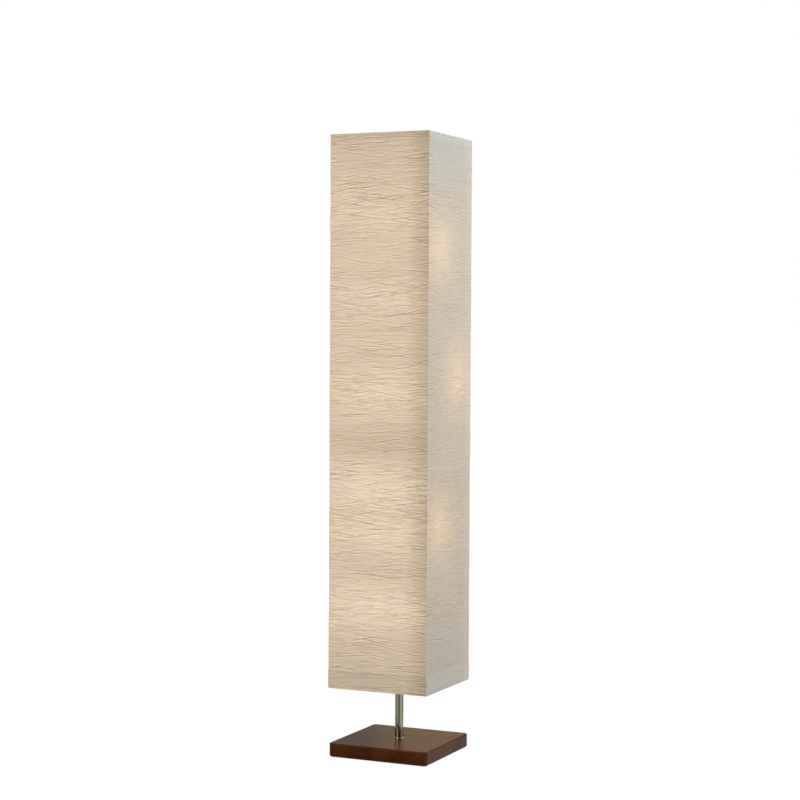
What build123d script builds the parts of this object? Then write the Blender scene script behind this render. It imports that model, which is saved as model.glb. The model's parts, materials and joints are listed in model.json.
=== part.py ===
from build123d import *
from math import asin, cos, degrees, radians
import os

# A column floor lamp: a tall square sleeve of crinkled paper, stretched over a wire frame, hangs
# from the top of a slim steel pole on a square wooden base. Three lamp holders stand on brackets
# that are clamped between the pole's sections. The frame can be turned round the pole, and comes
# off upwards once the finial is unscrewed.
#
# Millimetres. +Z is up, the origin is the middle of the footprint on the floor, and -Y is the
# front. Threads are rolled rings or plain cylinders with a small radial gap.

os.makedirs("parts", exist_ok=True)

# ---- Clearances
running_gap = 0.3  # between faces that slide or turn past each other
thread_gap = 0.1  # radial, in threads and close fits
fit_gap = 0.2  # radial, in drilled holes

# ---- Base
base_width = 254.0
base_height = 33.0  # floor to the board's top face
base_corner_radius = 10.0
base_top_radius = 3.0
base_foot_radius = 1.5
felt_thickness = 2.0
felt_margin = 3.0
pocket_width = 190.0
pocket_depth = 22.0
pocket_corner_radius = 8.0
ballast_thickness = 12.0
ballast_margin = 1.0
ballast_window = 80.0
cord_slot_width = 14.0
ballast_screw_spacing = 150.0
ballast_screw_diameter = 4.0
ballast_screw_head = 8.0
ballast_screw_bite = 6.0  # how far a screw goes into the board
ballast_screw_point = 1.0  # chamfer at its end
countersink_angle = 90.0
cross_slot_width = 1.0
cross_slot_depth = 1.0

# ---- Cord inlet and terminals
inlet_height = 12.0  # floor to the middle of the inlet
bush_diameter = 10.0
bush_bore = 7.2
bush_length = 14.0
bush_flange_diameter = 15.0
bush_flange = 2.0
bush_flange_round = 0.7
terminal_width = 30.0
terminal_depth = 14.0
terminal_height = 18.0
terminal_offset = 27.0  # pole axis to the middle of the block
terminal_corner_radius = 1.5
terminal_entry_depth = 5.5
terminal_screw_diameter = 4.0
terminal_screw_length = 4.0
terminal_screw_spacing = 9.0

# ---- Pole
pole_diameter = 20.0
pole_wall = 1.0
pole_lower_length = 430.0
pole_middle_length = 346.0
pole_upper_length = 298.0
pole_top_length = 313.0
seat_ring_diameter = 24.6
seat_ring_thickness = 2.0
seat_ring_round = 1.0
insert_length = 15.0
nipple_diameter = 10.0
nipple_bore = 7.0
nipple_end = 1.0  # how far a nipple stands out of its nut
nut_across_flats = 17.0
nut_height = 5.0
washer_diameter = 30.0
washer_thickness = 2.0

# ---- Lamp holders
bracket_thickness = 2.0
bracket_width = 26.0
holder_offset = 50.0  # pole axis to holder axis
holder_nut_flats = 14.0
holder_nut_height = 4.0
holder_diameter = 38.0
holder_neck_diameter = 16.0
holder_neck_height = 5.0
cap_height = 16.0
cap_wall = 2.6
cap_rim_height = 3.0
cap_flare = (0.6, 1)  # out and up: the way the cup opens from its neck
shell_height = 34.0
shell_wall = 4.0
shell_floor = 3.0
shell_lip = 0.8
sleeve_wall = 0.5
contact_width = 6.0
contact_thickness = 0.6
contact_reach = 4.0  # shell floor to the bulb's tip
contact_margin = 1.5  # edge of the contact to the sleeve's flange
contact_flat = 4.3  # its straight stretch at each end, on the floor and under the bulb
contact_rivet_margin = 1.8  # end of the contact to the middle of its rivet
rivet_diameter = 1.6
rivet_head_diameter = 2.6
rivet_head_height = 0.6

# ---- Bulbs
bulb_diameter = 60.0
light_height = 79.0  # bulb's tip to the middle of its globe
glass_wall = 0.8
glass_taper = 40.0  # how far past the equator the globe runs, in degrees
glass_neck_seat = 2.5
thread_lead = 3.63  # rise in one turn
thread_turns = 4
thread_depth = 0.7
bulb_cap_diameter = 26.0
bulb_cap_wall = 0.5
bulb_collar_height = 5.0
bulb_tip_diameter = 9.2
bulb_tip_height = 1.6
insulator_diameter = 16.0
insulator_height = 4.0
cap_shoulder = 2.0

# ---- Leads
lead_thickness = 1.8
lead_pitch = 1.95  # between the two wires of a lead, and from one lead to the next
lead_exit_drop = 32.0  # bracket's underside to the hole in the pole
lead_end = 11.0  # bracket's top to the end of the lead inside the holder's cap
lead_landing = 3.0  # how far a lead goes into the terminal block
lead_base_bend = 5.0
lead_pole_bend = 6.0
lead_holder_bend = 18.0
grommet_diameter = 8.0
grommet_bore = 6.0
grommet_flange_diameter = 11.0
grommet_flange = 1.2
grommet_depth = 2.0  # how far it stands inside the pole's wall

# ---- Shade
shade_width = 255.0
shade_clearance = 131.0  # base's top face to the shade's bottom edge
shade_corner_radius = 3.0
paper_thickness = 0.8
lip_thickness = 0.4
wire_diameter = 3.0
ring_corner_radius = 5.0
hub_drop = 42.7  # shade's top edge to the hub's underside
hub_diameter = 40.0
hub_thickness = 2.0
arm_bend = 8.0
arm_overlap = 5.0  # how far an arm lies on the hub
socket_wall = 0.9
socket_length = 15.0
guide_wall = 3.0
guide_height = 6.0
guide_bush_wall = 2.0
guide_bush_flange = 1.5
guide_bush_rim = 1.5

# ---- Finial
seat_washer_diameter = 26.0
seat_washer_thickness = 2.0
seat_washer_chamfer = 0.7
finial_washer_diameter = 17.0
finial_washer_thickness = 1.5
finial_diameter = 18.0
finial_height = 18.0
finial_dome = 4.0
finial_insert_diameter = 13.0
finial_insert_length = 13.0
finial_crown_gap = 1.5  # nipple's end to the insert's top
knurl_count = 24
knurl_diameter = 1.4

# ---- Places that follow from the stack
board_thickness = base_height - felt_thickness
pocket_ceiling = felt_thickness + pocket_depth
ballast_under = pocket_ceiling - ballast_thickness
ballast_width = pocket_width - 2 * ballast_margin
pole_radius = pole_diameter / 2
pole_inner_radius = pole_radius - pole_wall
nipple_radius = nipple_diameter / 2
nipple_hole = nipple_radius + thread_gap
nut_top = pocket_ceiling - washer_thickness
nut_under = nut_top - nut_height
seat_ring_top = base_height + seat_ring_thickness
lower_bracket = seat_ring_top + pole_lower_length
middle_bracket = lower_bracket + bracket_thickness + pole_middle_length
upper_bracket = middle_bracket + bracket_thickness + pole_upper_length
pole_end = upper_bracket + bracket_thickness + pole_top_length
seat_top = pole_end + seat_washer_thickness
hub_under = seat_top + running_gap
hub_top = hub_under + hub_thickness
shade_top = hub_under + hub_drop
shade_bottom = base_height + shade_clearance
finial_washer_top = hub_top + finial_washer_thickness
finial_under = finial_washer_top + running_gap
finial_insert_top = finial_under + finial_insert_length

# The frame's wire lies inside the paper, under the lip that is turned in over it.
wire_radius = wire_diameter / 2
wire_inset = paper_thickness + thread_gap + wire_radius
ring_half = shade_width / 2 - wire_inset
top_ring_height = shade_top - lip_thickness - thread_gap - wire_radius
bottom_ring_height = shade_bottom + lip_thickness + thread_gap + wire_radius
rod_half = ring_half - ring_corner_radius * (1 - cos(radians(45)))
guide_bush_bore = pole_radius + running_gap
guide_bush_radius = guide_bush_bore + guide_bush_wall
guide_inner_radius = guide_bush_radius + thread_gap
guide_outer_radius = guide_inner_radius + guide_wall

# Each light: the underside of its bracket, the side of the pole that it stands on, and the lane
# that its lead keeps in the pole.
lights = {
    "lower": (lower_bracket, -1, -1),
    "middle": (middle_bracket, 1, 1),
    "upper": (upper_bracket, -1, 0),
}
pole_sections = {
    "lower": (seat_ring_top, pole_lower_length),
    "middle": (lower_bracket + bracket_thickness, pole_middle_length),
    "upper": (middle_bracket + bracket_thickness, pole_upper_length),
    "top": (upper_bracket + bracket_thickness, pole_top_length),
}

# A holder is stacked from its bracket's top face, and a bulb from its own tip.
holder_radius = holder_diameter / 2
bulb_cap_radius = bulb_cap_diameter / 2
insulator_radius = insulator_diameter / 2
sleeve_base = cap_height + shell_floor
tip_base = sleeve_base + contact_reach
cap_base = bulb_tip_height + insulator_height + thread_gap
thread_base = cap_base + cap_shoulder
thread_height = thread_turns * thread_lead
collar_base = thread_base + thread_height
sleeve_crest = bulb_cap_radius + running_gap

# The leads turn up into the pole round one centre, the outermost with the widest bend.
lead_turn_offset = lead_pitch + lead_base_bend
lead_turn_height = nut_under - nipple_end + thread_gap
lead_entry_height = lead_turn_height - lead_turn_offset
terminal_front = terminal_offset - terminal_depth / 2
terminal_back = terminal_offset + terminal_depth / 2
terminal_under = pocket_ceiling - terminal_height


def write(piece, name):
    """Labels a finished piece and writes it as the node of that name."""
    piece.part.label = name
    export_step(piece.part, f"parts/{name}.step")


def holder_centre(light, height=0.0):
    """The point on a holder's axis at a height above its bracket's top face."""
    bracket, side, _ = lights[light]
    return Vector(0, side * holder_offset, bracket + bracket_thickness + height)


def profile_plane(centre):
    """An upright plane: across is the distance from a vertical axis, up is the height over centre."""
    return Plane(origin=centre, x_dir=(1, 0, 0), z_dir=(0, -1, 0))


def upright(centre):
    """The vertical axis through a point."""
    return Axis(centre, (0, 0, 1))


def dome_arc(crown, radius, height):
    """Half the profile of a shallow dome, from its crown to its rim. A negative height rises to
    the crown, a positive one falls to it."""
    ball = (radius**2 + height**2) / (2 * abs(height))
    turn = degrees(asin(radius / ball))
    return JernArc(crown, (1, 0), ball, turn if height > 0 else -turn)


def square(half_width):
    """The corners of a square round the pole."""
    return [(half_width * x, half_width * y) for x, y in ((-1, -1), (1, -1), (1, 1), (-1, 1))]


# ================================================================ Base
with BuildPart() as base_board:
    with BuildSketch(Plane.XY.offset(felt_thickness)):
        RectangleRounded(base_width, base_width, base_corner_radius)
    extrude(amount=board_thickness)
    fillet(base_board.faces().sort_by(Axis.Z)[-1].edges(), base_top_radius)
    fillet(base_board.faces().sort_by(Axis.Z)[0].edges(), base_foot_radius)
    with BuildSketch(Plane.XY.offset(felt_thickness)):
        RectangleRounded(pocket_width, pocket_width, pocket_corner_radius)
    extrude(amount=pocket_depth, mode=Mode.SUBTRACT)
    with BuildSketch(Plane.XY.offset(pocket_ceiling)):
        Circle(nipple_radius + fit_gap)
    extrude(amount=base_height - pocket_ceiling, mode=Mode.SUBTRACT)
    with BuildSketch(Plane.XZ.offset(-base_width / 2)):
        with Locations((0, inlet_height)):
            Circle(bush_diameter / 2 + thread_gap)
    extrude(amount=(base_width - pocket_width) / 2, mode=Mode.SUBTRACT)
    with BuildSketch(Plane.XZ.offset(-base_width / 2)):
        with Locations((0, inlet_height)):
            Circle(bush_flange_diameter / 2 + fit_gap)
    extrude(amount=bush_flange, mode=Mode.SUBTRACT)
    with BuildSketch(Plane.XY.offset(pocket_ceiling)):
        with GridLocations(ballast_screw_spacing, ballast_screw_spacing, 2, 2):
            Circle(ballast_screw_diameter / 2 + thread_gap)
    extrude(amount=ballast_screw_bite + fit_gap, mode=Mode.SUBTRACT)
write(base_board, "base_board")

with BuildPart() as base_felt:
    with BuildSketch():
        RectangleRounded(
            base_width - 2 * felt_margin,
            base_width - 2 * felt_margin,
            base_corner_radius - felt_margin,
        )
    extrude(amount=felt_thickness)
write(base_felt, "base_felt")

with BuildPart() as ballast_plate:
    with BuildSketch(Plane.XY.offset(ballast_under)):
        RectangleRounded(ballast_width, ballast_width, pocket_corner_radius)
        RectangleRounded(ballast_window, ballast_window, pocket_corner_radius, mode=Mode.SUBTRACT)
        with Locations((0, ballast_width / 2)):
            Rectangle(
                cord_slot_width,
                ballast_width / 2,
                align=(Align.CENTER, Align.MAX),
                mode=Mode.SUBTRACT,
            )
    extrude(amount=ballast_thickness)
    with Locations(Plane.XY.offset(ballast_under).rotated((180, 0, 0))):
        with GridLocations(ballast_screw_spacing, ballast_screw_spacing, 2, 2):
            CounterSinkHole(
                ballast_screw_diameter / 2 + fit_gap,
                ballast_screw_head / 2 + fit_gap,
                ballast_thickness,
                countersink_angle,
            )
write(ballast_plate, "ballast_plate")

with BuildPart() as ballast_screws:
    with BuildSketch(Plane.XY.offset(ballast_under)):
        with GridLocations(ballast_screw_spacing, ballast_screw_spacing, 2, 2):
            Circle(ballast_screw_diameter / 2)
    extrude(amount=ballast_thickness + ballast_screw_bite)
    chamfer(ballast_screws.faces().sort_by(Axis.Z)[-4:].edges(), ballast_screw_point)
    with BuildSketch(Plane.XY.offset(ballast_under)):
        with GridLocations(ballast_screw_spacing, ballast_screw_spacing, 2, 2):
            Circle(ballast_screw_head / 2)
    extrude(
        amount=(ballast_screw_head - ballast_screw_diameter) / 2,
        taper=countersink_angle / 2,
    )
    with BuildSketch(Plane.XY.offset(ballast_under)):
        with GridLocations(ballast_screw_spacing, ballast_screw_spacing, 2, 2):
            for turn in (0, 90):
                Rectangle(ballast_screw_diameter, cross_slot_width, rotation=turn)
    extrude(amount=cross_slot_depth, mode=Mode.SUBTRACT)
write(ballast_screws, "ballast_screws")

# The inlet's bush is pushed in from behind until its flange lies in the recess, flush with the board.
with BuildPart() as cord_inlet_bush:
    with BuildSketch(Plane.XZ.offset(-base_width / 2)):
        with Locations((0, inlet_height)):
            Circle(bush_flange_diameter / 2)
    extrude(amount=bush_flange)
    fillet(cord_inlet_bush.faces().sort_by(Axis.Y)[-1].edges(), bush_flange_round)
    with BuildSketch(Plane.XZ.offset(-base_width / 2 + bush_flange)):
        with Locations((0, inlet_height)):
            Circle(bush_diameter / 2)
    extrude(amount=bush_length)
    with BuildSketch(Plane.XZ.offset(-base_width / 2)):
        with Locations((0, inlet_height)):
            Circle(bush_bore / 2)
    extrude(amount=bush_flange + bush_length, mode=Mode.SUBTRACT)
write(cord_inlet_bush, "cord_inlet_bush")

with BuildPart() as terminal_block:
    with BuildSketch(Plane.XY.offset(terminal_under)):
        with Locations((0, terminal_offset)):
            RectangleRounded(terminal_width, terminal_depth, terminal_corner_radius)
    extrude(amount=terminal_height)
    with BuildSketch(Plane.XZ.offset(-terminal_front)):
        with Locations((0, lead_entry_height)):
            Rectangle(
                lead_pitch + lead_thickness + 2 * fit_gap,
                2 * lead_pitch + lead_thickness + 2 * fit_gap,
            )
    extrude(amount=-terminal_entry_depth, mode=Mode.SUBTRACT)
    with BuildSketch(Plane.XZ.offset(-terminal_back)):
        with Locations((0, lead_entry_height)):
            Circle(bush_bore / 2)
    extrude(amount=terminal_entry_depth, mode=Mode.SUBTRACT)
    with BuildSketch(Plane.XY.offset(terminal_under)):
        with Locations((0, terminal_offset)):
            with GridLocations(2 * terminal_screw_spacing, 0, 2, 1):
                Circle(terminal_screw_diameter / 2 + thread_gap)
    extrude(amount=terminal_screw_length + fit_gap, mode=Mode.SUBTRACT)
write(terminal_block, "terminal_block")

with BuildPart() as terminal_screws:
    with BuildSketch(Plane.XY.offset(terminal_under)):
        with Locations((0, terminal_offset)):
            with GridLocations(2 * terminal_screw_spacing, 0, 2, 1):
                Circle(terminal_screw_diameter / 2)
    extrude(amount=terminal_screw_length)
    with BuildSketch(Plane.XY.offset(terminal_under)):
        with Locations((0, terminal_offset)):
            with GridLocations(2 * terminal_screw_spacing, 0, 2, 1):
                Rectangle(terminal_screw_diameter, cross_slot_width)
    extrude(amount=cross_slot_depth, mode=Mode.SUBTRACT)
write(terminal_screws, "terminal_screws")

with BuildPart() as base_washer:
    with BuildSketch(Plane.XY.offset(nut_top)):
        Circle(washer_diameter / 2)
        Circle(nipple_radius + fit_gap, mode=Mode.SUBTRACT)
    extrude(amount=washer_thickness)
write(base_washer, "base_washer")

with BuildPart() as base_nut:
    with BuildSketch(Plane.XY.offset(nut_under)):
        RegularPolygon(nut_across_flats / 2, 6, major_radius=False)
        Circle(nipple_hole, mode=Mode.SUBTRACT)
    extrude(amount=nut_height)
write(base_nut, "base_nut")

with BuildPart() as base_nipple:
    with BuildSketch(Plane.XY.offset(nut_under - nipple_end)):
        Circle(nipple_radius)
        Circle(nipple_bore / 2, mode=Mode.SUBTRACT)
    extrude(amount=seat_ring_top + insert_length - nut_under + nipple_end)
write(base_nipple, "base_nipple")

# ================================================================ Pole
with BuildPart() as pole_seat_ring:
    with BuildSketch(Plane.XY.offset(base_height)):
        Circle(seat_ring_diameter / 2)
        Circle(nipple_radius + fit_gap, mode=Mode.SUBTRACT)
    extrude(amount=seat_ring_thickness)
    fillet(
        pole_seat_ring.faces().sort_by(Axis.Z)[-1].edges().sort_by(SortBy.RADIUS)[-1],
        seat_ring_round,
    )
write(pole_seat_ring, "pole_seat_ring")

for section, (foot, length) in pole_sections.items():
    with BuildPart() as pole:
        with BuildSketch(Plane.XY.offset(foot)):
            Circle(pole_radius)
            Circle(pole_inner_radius, mode=Mode.SUBTRACT)
        extrude(amount=length)
        if section in lights:
            side = lights[section][1]
            with BuildSketch(Plane.XZ):
                with Locations((0, foot + length - lead_exit_drop)):
                    Circle(grommet_diameter / 2 + thread_gap)
            extrude(amount=-side * pole_diameter, mode=Mode.SUBTRACT)
    write(pole, f"pole_{section}")

with BuildPart() as pole_inserts:
    for foot, length in pole_sections.values():
        for end in (foot, foot + length - insert_length):
            with BuildSketch(Plane.XY.offset(end)):
                Circle(pole_inner_radius - thread_gap)
                Circle(nipple_hole, mode=Mode.SUBTRACT)
            extrude(amount=insert_length)
write(pole_inserts, "pole_inserts")

with BuildPart() as joining_nipples:
    for bracket, _, _ in lights.values():
        with BuildSketch(Plane.XY.offset(bracket - insert_length)):
            Circle(nipple_radius)
            Circle(nipple_bore / 2, mode=Mode.SUBTRACT)
        extrude(amount=2 * insert_length + bracket_thickness)
write(joining_nipples, "joining_nipples")

with BuildPart() as top_nipple:
    with BuildSketch(Plane.XY.offset(pole_end - insert_length)):
        Circle(nipple_radius)
        Circle(nipple_bore / 2, mode=Mode.SUBTRACT)
    extrude(amount=finial_insert_top - finial_crown_gap - pole_end + insert_length)
write(top_nipple, "top_nipple")

with BuildPart() as shade_seat_washer:
    with BuildSketch(Plane.XY.offset(pole_end)):
        Circle(seat_washer_diameter / 2)
        Circle(nipple_radius + fit_gap, mode=Mode.SUBTRACT)
    extrude(amount=seat_washer_thickness)
    chamfer(
        shade_seat_washer.faces().sort_by(Axis.Z)[0].edges().sort_by(SortBy.RADIUS)[-1],
        seat_washer_chamfer,
    )
write(shade_seat_washer, "shade_seat_washer")

# A grommet is a disc that the pole's wall cuts in two, then a barrel through the hole, bored out.
with BuildPart() as lead_grommets:
    inner_end = pole_inner_radius - grommet_depth
    outer_end = pole_radius + grommet_flange
    for bracket, side, _ in lights.values():
        with BuildSketch(Plane.XZ.offset(-side * inner_end)):
            with Locations((0, bracket - lead_exit_drop)):
                Circle(grommet_flange_diameter / 2)
        extrude(amount=-side * (outer_end - inner_end))
    with BuildSketch():
        Circle(pole_radius + thread_gap)
        Circle(pole_inner_radius - thread_gap, mode=Mode.SUBTRACT)
    extrude(amount=pole_end, mode=Mode.SUBTRACT)
    for bracket, side, _ in lights.values():
        with BuildSketch(Plane.XZ.offset(-side * inner_end)):
            with Locations((0, bracket - lead_exit_drop)):
                Circle(grommet_diameter / 2)
        extrude(amount=-side * (outer_end - inner_end))
        with BuildSketch(Plane.XZ.offset(-side * inner_end)):
            with Locations((0, bracket - lead_exit_drop)):
                Circle(grommet_bore / 2)
        extrude(amount=-side * (outer_end - inner_end), mode=Mode.SUBTRACT)
write(lead_grommets, "lead_grommets")

# ================================================================ Lamp holders
with BuildPart() as holder_nipples:
    for bracket, side, _ in lights.values():
        with BuildSketch(Plane.XY.offset(bracket - holder_nut_height - nipple_end)):
            with Locations((0, side * holder_offset)):
                Circle(nipple_radius)
                Circle(nipple_bore / 2, mode=Mode.SUBTRACT)
        extrude(
            amount=nipple_end
            + holder_nut_height
            + bracket_thickness
            + holder_neck_height
            + cap_wall
        )
write(holder_nipples, "holder_nipples")

with BuildPart() as holder_nuts:
    for bracket, side, _ in lights.values():
        with BuildSketch(Plane.XY.offset(bracket - holder_nut_height)):
            with Locations((0, side * holder_offset)):
                RegularPolygon(holder_nut_flats / 2, 6, major_radius=False)
                Circle(nipple_hole, mode=Mode.SUBTRACT)
        extrude(amount=holder_nut_height)
write(holder_nuts, "holder_nuts")

contact_half = insulator_radius - contact_margin
contact_rivet = contact_half - contact_rivet_margin
flange_rivet = (insulator_radius + sleeve_crest) / 2
rivet_places = (
    (-flange_rivet, sleeve_wall),
    (-contact_rivet, contact_thickness),
    (flange_rivet, sleeve_wall),
)


def bracket_strip(light):
    """A steel strip with one round end on the pole's axis and one on the holder's."""
    under, side, _ = lights[light]
    with BuildPart() as strip:
        with BuildSketch(Plane.XY.offset(under)):
            with Locations((0, side * holder_offset / 2)):
                SlotCenterToCenter(holder_offset, bracket_width, rotation=90)
            with Locations((0, 0), (0, side * holder_offset)):
                Circle(nipple_radius + fit_gap, mode=Mode.SUBTRACT)
        extrude(amount=bracket_thickness)
    return strip


def holder_cap(light):
    """The holder's lower half: a neck on the nipple that flares into a cup for the wiring."""
    centre = holder_centre(light)
    neck = holder_neck_diameter / 2
    floor = holder_neck_height + cap_wall
    rim = cap_height - cap_rim_height
    with BuildPart() as cap:
        with BuildSketch(profile_plane(centre)):
            with BuildLine():
                Polyline((nipple_hole, 0), (neck, 0), (neck, holder_neck_height))
                Spline(
                    (neck, holder_neck_height),
                    (holder_radius, rim),
                    tangents=(cap_flare, (0, 1)),
                )
                Polyline(
                    (holder_radius, rim),
                    (holder_radius, cap_height),
                    (holder_radius - cap_wall, cap_height),
                    (holder_radius - cap_wall, rim),
                    (nipple_hole + cap_wall, floor),
                    (nipple_hole, floor),
                    (nipple_hole, 0),
                )
            make_face()
        revolve(axis=upright(centre))
    return cap


def holder_shell(light):
    """The holder's upper half: a moulded tube whose floor is drilled for the rivets."""
    centre = holder_centre(light, cap_height)
    inner = holder_radius - shell_wall
    with BuildPart() as shell:
        with BuildSketch(profile_plane(centre)):
            with BuildLine():
                Polyline(
                    (0, 0),
                    (holder_radius, 0),
                    (holder_radius, shell_height - shell_lip),
                    (holder_radius - shell_lip, shell_height),
                    (inner, shell_height),
                    (inner, shell_floor),
                    (0, shell_floor),
                    (0, 0),
                )
            make_face()
        revolve(axis=upright(centre))
        with BuildSketch(Plane.XY.offset(centre.Z)):
            for x, _ in rivet_places:
                with Locations((x, centre.Y)):
                    Circle(rivet_diameter / 2 + thread_gap)
        extrude(amount=shell_floor, mode=Mode.SUBTRACT)
    return shell


def bulb_glass(light):
    """A thin globe that narrows through a waist to a neck, open where it sits in the cap."""
    centre = holder_centre(light, tip_base)
    globe = bulb_diameter / 2
    neck = bulb_cap_radius - bulb_cap_wall - thread_gap
    fall = cos(radians(glass_taper))
    waist = (globe * fall - neck) / (1 - fall)
    top = light_height + globe
    seat = collar_base + glass_neck_seat
    with BuildPart() as glass:
        with BuildSketch(profile_plane(centre)):
            with BuildLine():
                outside = JernArc((0, top), (1, 0), globe, -90 - glass_taper)
                outer_waist = JernArc(outside @ 1, outside % 1, waist, glass_taper)
                inside = JernArc(
                    (0, top - glass_wall),
                    (1, 0),
                    globe - glass_wall,
                    -90 - glass_taper,
                )
                inner_waist = JernArc(inside @ 1, inside % 1, waist + glass_wall, glass_taper)
                Polyline(
                    outer_waist @ 1,
                    (neck, seat),
                    (neck - glass_wall, seat),
                    inner_waist @ 1,
                )
                Line((0, top), (0, top - glass_wall))
            make_face()
        revolve(axis=upright(centre))
    return glass


def bulb_cap(light):
    """The bulb's metal screw cap: a shoulder, rolled thread rings and a plain collar."""
    centre = holder_centre(light, tip_base)
    crest = bulb_cap_radius
    root = crest - thread_depth
    collar_top = collar_base + bulb_collar_height
    with BuildPart() as cap:
        with BuildSketch(profile_plane(centre)):
            with BuildLine():
                Line((insulator_radius, cap_base), (root, thread_base))
                for ring in range(thread_turns):
                    low = thread_base + ring * thread_lead
                    ThreePointArc(
                        (root, low),
                        (crest, low + thread_lead / 2),
                        (root, low + thread_lead),
                    )
                Polyline(
                    (root, collar_base),
                    (crest, collar_base),
                    (crest, collar_top),
                    (crest - bulb_cap_wall, collar_top),
                    (crest - bulb_cap_wall, collar_base + bulb_cap_wall),
                    (root - bulb_cap_wall, collar_base),
                    (root - bulb_cap_wall, thread_base),
                    (insulator_radius - bulb_cap_wall, cap_base + bulb_cap_wall),
                    (insulator_radius - bulb_cap_wall, cap_base),
                    (insulator_radius, cap_base),
                )
            make_face()
        revolve(axis=upright(centre))
    return cap


def bulb_tip(light):
    """The bulb's domed contact, and the glass disc that insulates it from the cap."""
    centre = holder_centre(light, tip_base)
    with BuildPart() as tip:
        with BuildSketch(profile_plane(centre)):
            with BuildLine():
                dome = dome_arc((0, 0), bulb_tip_diameter / 2, bulb_tip_height)
                Polyline(
                    dome @ 1,
                    (insulator_radius, bulb_tip_height + insulator_height),
                    (0, bulb_tip_height + insulator_height),
                    (0, 0),
                )
            make_face()
        revolve(axis=upright(centre))
    return tip


def twin_lead(light):
    """A flat pair of wires: from the terminals up inside the pole, out at its grommet, and up
    through the bracket into the holder."""
    bracket, side, lane = lights[light]
    run = lane * lead_pitch
    bend = lead_turn_offset - run
    low = lead_turn_height - bend
    exit_height = bracket - lead_exit_drop
    with BuildPart() as lead:
        with BuildLine(Plane.YZ):
            route = FilletPolyline(
                (terminal_front + lead_landing, low),
                (run, low),
                (run, exit_height),
                (side * holder_offset, exit_height),
                (side * holder_offset, bracket + bracket_thickness + lead_end),
                radius=(bend, lead_pole_bend, lead_holder_bend),
            )
        with BuildSketch(Plane(origin=route @ 0, x_dir=(1, 0, 0), z_dir=route % 0)):
            SlotCenterToCenter(lead_pitch, lead_thickness)
        sweep()
    return lead


for light in lights:
    write(bracket_strip(light), f"bracket_{light}")
    write(holder_cap(light), f"holder_cap_{light}")
    write(holder_shell(light), f"holder_shell_{light}")
    write(bulb_glass(light), f"bulb_glass_{light}")
    write(bulb_cap(light), f"bulb_cap_{light}")
    write(bulb_tip(light), f"bulb_tip_{light}")
    write(twin_lead(light), f"lead_{light}")

with BuildPart() as holder_sleeves:
    for light in lights:
        centre = holder_centre(light, sleeve_base)
        groove_base = contact_reach + thread_base
        with BuildSketch(profile_plane(centre)):
            with BuildLine():
                for ring in range(thread_turns):
                    low = groove_base + ring * thread_lead
                    ThreePointArc(
                        (sleeve_crest, low),
                        (sleeve_crest + thread_depth, low + thread_lead / 2),
                        (sleeve_crest, low + thread_lead),
                    )
                Polyline(
                    (sleeve_crest, groove_base + thread_height),
                    (sleeve_crest + thread_depth + sleeve_wall, groove_base + thread_height),
                    (sleeve_crest + thread_depth + sleeve_wall, 0),
                    (insulator_radius, 0),
                    (insulator_radius, sleeve_wall),
                    (sleeve_crest, sleeve_wall),
                    (sleeve_crest, groove_base),
                )
            make_face()
        revolve(axis=upright(centre))
        with BuildSketch(Plane.XY.offset(centre.Z)):
            with Locations((0, centre.Y)):
                with GridLocations(2 * flange_rivet, 0, 2, 1):
                    Circle(rivet_diameter / 2 + thread_gap)
        extrude(amount=sleeve_wall, mode=Mode.SUBTRACT)
write(holder_sleeves, "holder_sleeves")

with BuildPart() as holder_contacts:
    for light in lights:
        centre = holder_centre(light, sleeve_base)
        tongue = contact_reach - running_gap - contact_thickness
        with BuildSketch(profile_plane(centre)):
            with BuildLine():
                Polyline(
                    (-contact_half, 0),
                    (-contact_half + contact_flat, 0),
                    (contact_half - contact_flat, tongue),
                    (contact_half, tongue),
                )
                offset(amount=contact_thickness, side=Side.LEFT, kind=Kind.INTERSECTION)
            make_face()
        extrude(amount=contact_width / 2, both=True)
        with BuildSketch(Plane.XY.offset(centre.Z)):
            with Locations((-contact_rivet, centre.Y)):
                Circle(rivet_diameter / 2 + thread_gap)
        extrude(amount=contact_thickness, mode=Mode.SUBTRACT)
write(holder_contacts, "holder_contacts")

with BuildPart() as holder_rivets:
    for light in lights:
        centre = holder_centre(light, cap_height)
        for x, clamped in rivet_places:
            for low, high, radius in (
                (-rivet_head_height, 0, rivet_head_diameter / 2),
                (0, shell_floor + clamped, rivet_diameter / 2),
                (
                    shell_floor + clamped,
                    shell_floor + clamped + rivet_head_height,
                    rivet_head_diameter / 2,
                ),
            ):
                with BuildSketch(Plane.XY.offset(centre.Z + low)):
                    with Locations((x, centre.Y)):
                        Circle(radius)
                extrude(amount=high - low)
write(holder_rivets, "holder_rivets")

# ================================================================ Shade
with BuildPart() as paper_sleeve:
    with BuildSketch(Plane.XY.offset(shade_bottom)):
        RectangleRounded(shade_width, shade_width, shade_corner_radius)
        RectangleRounded(
            shade_width - 2 * paper_thickness,
            shade_width - 2 * paper_thickness,
            shade_corner_radius - paper_thickness,
            mode=Mode.SUBTRACT,
        )
    extrude(amount=shade_top - shade_bottom)
    for edge in (shade_bottom, shade_top - lip_thickness):
        with BuildSketch(Plane.XY.offset(edge)):
            RectangleRounded(shade_width, shade_width, shade_corner_radius)
            RectangleRounded(
                2 * (ring_half - wire_radius),
                2 * (ring_half - wire_radius),
                ring_corner_radius - wire_radius,
                mode=Mode.SUBTRACT,
            )
        extrude(amount=lip_thickness)
write(paper_sleeve, "paper_sleeve")

for ring_name, height in (("top_ring", top_ring_height), ("bottom_ring", bottom_ring_height)):
    with BuildPart() as ring:
        with BuildLine(Plane.XY.offset(height)):
            route = FilletPolyline(*square(ring_half), radius=ring_corner_radius, close=True)
        with BuildSketch(Plane(origin=route @ 0, z_dir=route % 0)):
            Circle(wire_radius)
        sweep()
    write(ring, ring_name)

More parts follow.
